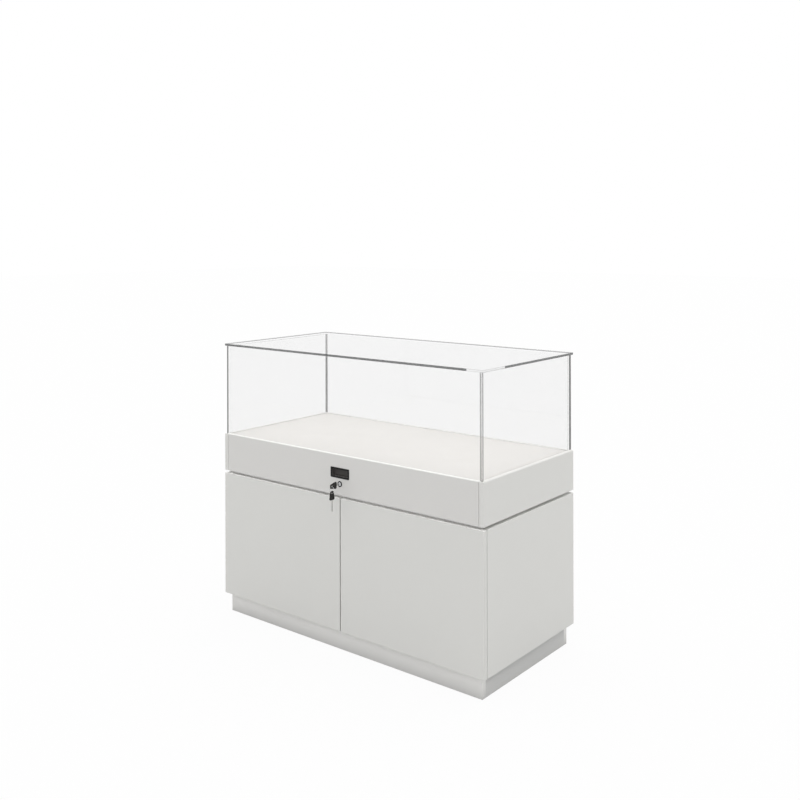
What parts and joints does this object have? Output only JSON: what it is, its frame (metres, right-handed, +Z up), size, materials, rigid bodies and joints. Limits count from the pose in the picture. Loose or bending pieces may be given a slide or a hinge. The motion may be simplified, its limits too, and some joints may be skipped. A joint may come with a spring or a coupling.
{
  "type": "display cabinet",
  "caption": "Glass-topped display cabinet with a pull-out display drawer, cylinder lock with keys, and a storage cupboard with handleless doors on a recessed plinth.",
  "frame": {"origin": "on the floor under the middle of the cabinet, on the underside of the plinth's centre rail", "axes": "+X to the right along the front, +Y from the door side to the back, +Z up"},
  "size_m": [1.2, 0.625, 1.033],
  "materials": {
    "white_lacquer": "warm white lacquered board, satin",
    "plinth_lacquer": "pale grey lacquered board, satin",
    "clear_glass": "clear with polished edges",
    "zinc_steel": "zinc plated",
    "bright_chrome": "polished",
    "black_plastic": "fine satin",
    "grey_plastic": "moulded"
  },
  "bodies": {
    "cabinet": {"plinth_front": "plinth_lacquer", "plinth_back": "plinth_lacquer", "plinth_left": "plinth_lacquer", "plinth_right": "plinth_lacquer", "plinth_cross": "plinth_lacquer", "reveal_board": "plinth_lacquer", "bottom_panel": "white_lacquer", "side_panel_left": "white_lacquer", "side_panel_right": "white_lacquer", "back_panel": "white_lacquer", "top_panel": "white_lacquer", "centre_partition": "white_lacquer", "shelf_left": "white_lacquer", "shelf_right": "white_lacquer", "deck_base": "white_lacquer", "deck_side_left": "white_lacquer", "deck_side_right": "white_lacquer", "deck_back": "white_lacquer", "glass_left": "clear_glass", "glass_right": "clear_glass", "glass_back": "clear_glass", "glass_top": "clear_glass", "shelf_pins": "zinc_steel", "slide_outer_left": "zinc_steel", "slide_outer_right": "zinc_steel", "lock_strike": "zinc_steel", "hinge_arms_left": "zinc_steel", "hinge_arms_right": "zinc_steel", "latch_bodies": "grey_plastic"},
    "drawer": {"drawer_front": "white_lacquer", "display_floor": "white_lacquer", "drawer_side_left": "white_lacquer", "drawer_side_right": "white_lacquer", "drawer_back": "white_lacquer", "glass_front": "clear_glass", "flush_pull": "black_plastic", "lock_housing": "bright_chrome", "lock_nut": "zinc_steel", "slide_inner_left": "zinc_steel", "slide_inner_right": "zinc_steel"},
    "slide_middle": {"slide_middle_left": "zinc_steel", "slide_middle_right": "zinc_steel"},
    "outer_cage": {"outer_ball_cages": "zinc_steel"},
    "inner_cage": {"inner_ball_cages": "zinc_steel"},
    "lock_barrel": {"lock_plug": "bright_chrome", "lock_cam": "zinc_steel", "key_blade": "zinc_steel", "key_head": "black_plastic"},
    "ring": {"key_ring": "bright_chrome"},
    "spare_key": {"spare_key_blade": "zinc_steel", "spare_key_head": "black_plastic"},
    "left_links": {"hinge_links_left": "zinc_steel"},
    "right_links": {"hinge_links_right": "zinc_steel"},
    "left_door": {"door_left": "white_lacquer", "hinge_cups_left": "zinc_steel"},
    "right_door": {"door_right": "white_lacquer", "hinge_cups_right": "zinc_steel"},
    "left_plunger": {"latch_plunger_left": "grey_plastic"},
    "right_plunger": {"latch_plunger_right": "grey_plastic"}
  },
  "joints": [
    {"name": "drawer_slide", "type": "slide", "parent": "cabinet", "child": "drawer", "axis": [0, -1, 0], "range_m": [0, 0.48]},
    {"name": "slide_middle_run", "type": "slide", "parent": "cabinet", "child": "slide_middle", "axis": [0, -1, 0], "range_m": [0, 0.24]},
    {"name": "outer_cage_run", "type": "slide", "parent": "cabinet", "child": "outer_cage", "axis": [0, -1, 0], "range_m": [0, 0.12]},
    {"name": "inner_cage_run", "type": "slide", "parent": "cabinet", "child": "inner_cage", "axis": [0, -1, 0], "range_m": [0, 0.36]},
    {"name": "lock_turn", "type": "hinge", "parent": "drawer", "child": "lock_barrel", "pos_m": [0, -0.286, 0.585], "axis": [0, 1, 0], "range_deg": [0, 90]},
    {"name": "ring_swing", "type": "hinge", "parent": "lock_barrel", "child": "ring", "pos_m": [0, -0.327, 0.585], "axis": [1, 0, 0], "range_deg": [-45, 10]},
    {"name": "spare_key_swing", "type": "hinge", "parent": "ring", "child": "spare_key", "pos_m": [0, -0.327, 0.561], "axis": [1, 0, 0], "range_deg": [-45, 10]},
    {"name": "left_link_swing", "type": "hinge", "parent": "cabinet", "child": "left_links", "pos_m": [-0.566, -0.259, 0.16], "axis": [0, 0, -1], "range_deg": [-30, 0]},
    {"name": "left_door_swing", "type": "hinge", "parent": "left_links", "child": "left_door", "pos_m": [-0.589, -0.2755, 0.16], "axis": [0, 0, -1], "range_deg": [0, 124]},
    {"name": "right_link_swing", "type": "hinge", "parent": "cabinet", "child": "right_links", "pos_m": [0.566, -0.259, 0.16], "axis": [0, 0, 1], "range_deg": [-30, 0]},
    {"name": "right_door_swing", "type": "hinge", "parent": "right_links", "child": "right_door", "pos_m": [0.589, -0.2755, 0.16], "axis": [0, 0, 1], "range_deg": [0, 124]},
    {"name": "left_latch_press", "type": "slide", "parent": "cabinet", "child": "left_plunger", "axis": [0, 1, 0], "range_m": [0, 0.003], "stiffness_N_per_m": 300},
    {"name": "right_latch_press", "type": "slide", "parent": "cabinet", "child": "right_plunger", "axis": [0, 1, 0], "range_m": [0, 0.003], "stiffness_N_per_m": 300}
  ],
  "couplings": [
    {"joint": "slide_middle_run", "follows": "drawer_slide", "ratio": 0.5},
    {"joint": "outer_cage_run", "follows": "drawer_slide", "ratio": 0.25},
    {"joint": "inner_cage_run", "follows": "drawer_slide", "ratio": 0.75},
    {"joint": "left_link_swing", "follows": "left_door_swing", "ratio": -0.23664},
    {"joint": "right_link_swing", "follows": "right_door_swing", "ratio": -0.23664}
  ]
}
